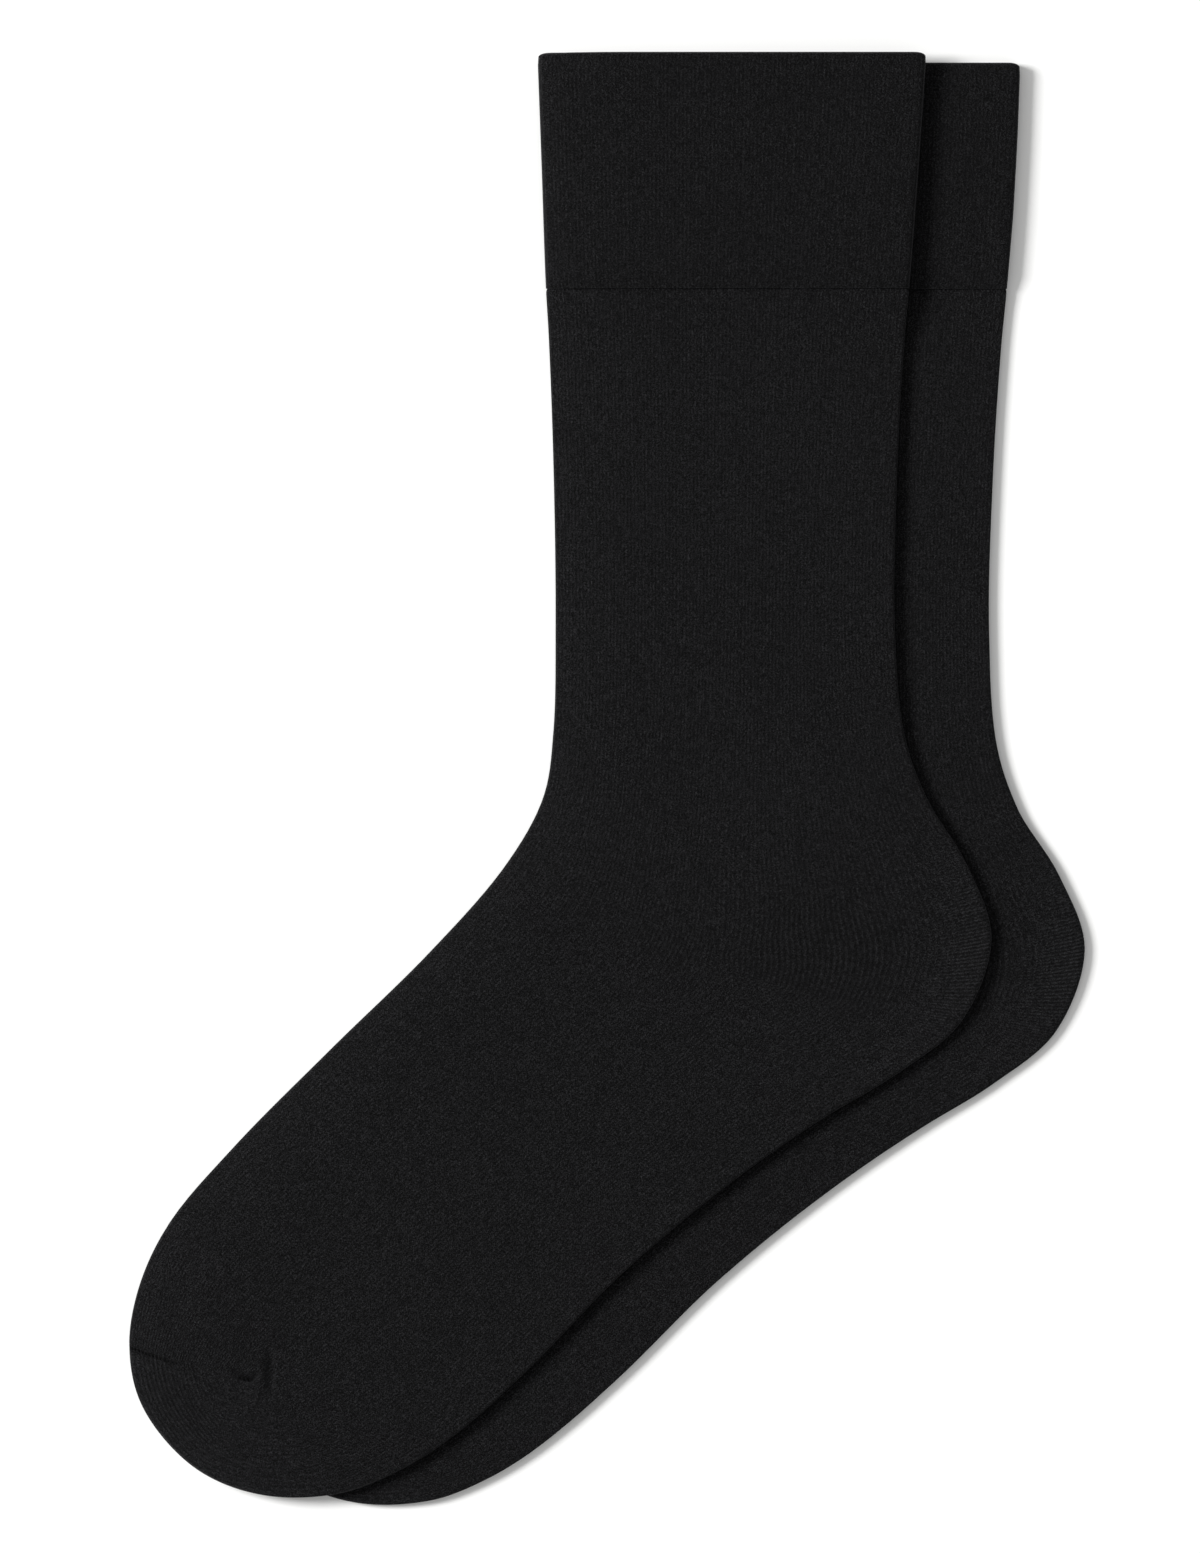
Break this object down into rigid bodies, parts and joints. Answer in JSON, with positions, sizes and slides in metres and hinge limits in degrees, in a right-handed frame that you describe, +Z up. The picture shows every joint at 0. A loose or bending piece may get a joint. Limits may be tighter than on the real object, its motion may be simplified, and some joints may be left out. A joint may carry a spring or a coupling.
{
  "type": "pair of socks",
  "caption": "Plain fine-knit crew socks laid flat and overlapping, each a circular-knitted tube with a turned welt, pocket heel and linked toe.",
  "frame": {"origin": "centre of the laid pair's bounding box, on the surface it lies on", "axes": "+Z up from the surface, +Y along the legs towards the mouths, +X towards the heels; the toes point to -X and -Y"},
  "size_m": [0.2486, 0.3774, 0.0091],
  "materials": {
    "welt_knit": "black mercerised cotton and nylon, double plain knit, matt",
    "leg_knit": "black mercerised cotton and nylon, fine plain knit, matt",
    "heel_knit": "black mercerised cotton and nylon, fine plain knit with gore lines, matt",
    "foot_knit": "black mercerised cotton and nylon, fine plain knit, matt",
    "toe_knit": "black mercerised cotton and nylon, fine plain knit with gore lines and a linked seam, matt"
  },
  "bodies": {
    "root": {"upper_welt": "welt_knit", "upper_leg": "leg_knit", "upper_heel": "heel_knit", "upper_foot": "foot_knit", "upper_toe": "toe_knit", "lower_welt": "welt_knit", "lower_leg": "leg_knit", "lower_heel": "heel_knit", "lower_foot": "foot_knit", "lower_toe": "toe_knit"}
  },
  "joints": []
}
